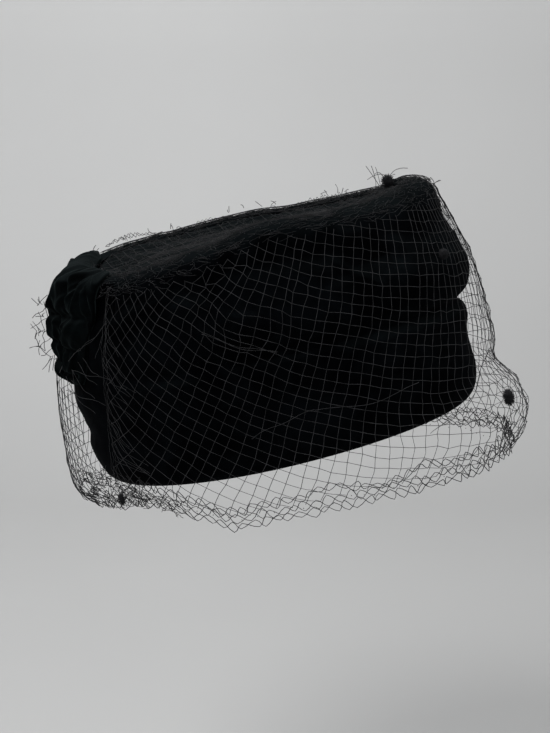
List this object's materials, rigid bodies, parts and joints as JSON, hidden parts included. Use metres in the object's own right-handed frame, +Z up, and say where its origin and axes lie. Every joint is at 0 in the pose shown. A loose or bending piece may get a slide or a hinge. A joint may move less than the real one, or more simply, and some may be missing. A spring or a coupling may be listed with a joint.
{
  "type": "pillbox hat with net veil",
  "caption": "Draped velvet pillbox hat worn tilted back, with a gathered knot behind and a square-mesh net veil with chenille dots hanging below the rim.",
  "frame": {"origin": "centre of the head opening at the rim, where the hat sits on a head", "axes": "+X towards the wearer's face, +Y to the wearer's left, +Z up; the crown's axis leans 13.5 degrees back from +Z, as worn"},
  "size_m": [0.2715, 0.213, 0.1843],
  "materials": {
    "band_velvet": "black pile velvet",
    "tip_velvet": "black pile velvet",
    "knot_velvet": "black pile velvet",
    "net": "matt silk net",
    "tie_chenille": "chenille",
    "chenille": "chenille"
  },
  "bodies": {
    "root": {"lower_roll": "band_velvet", "upper_drape": "band_velvet", "crown_tip": "tip_velvet", "back_knot": "knot_velvet", "veil": "net", "veil_tie": "tie_chenille", "dot_front": "chenille", "dot_brow": "chenille", "dot_crown": "chenille"}
  },
  "joints": []
}
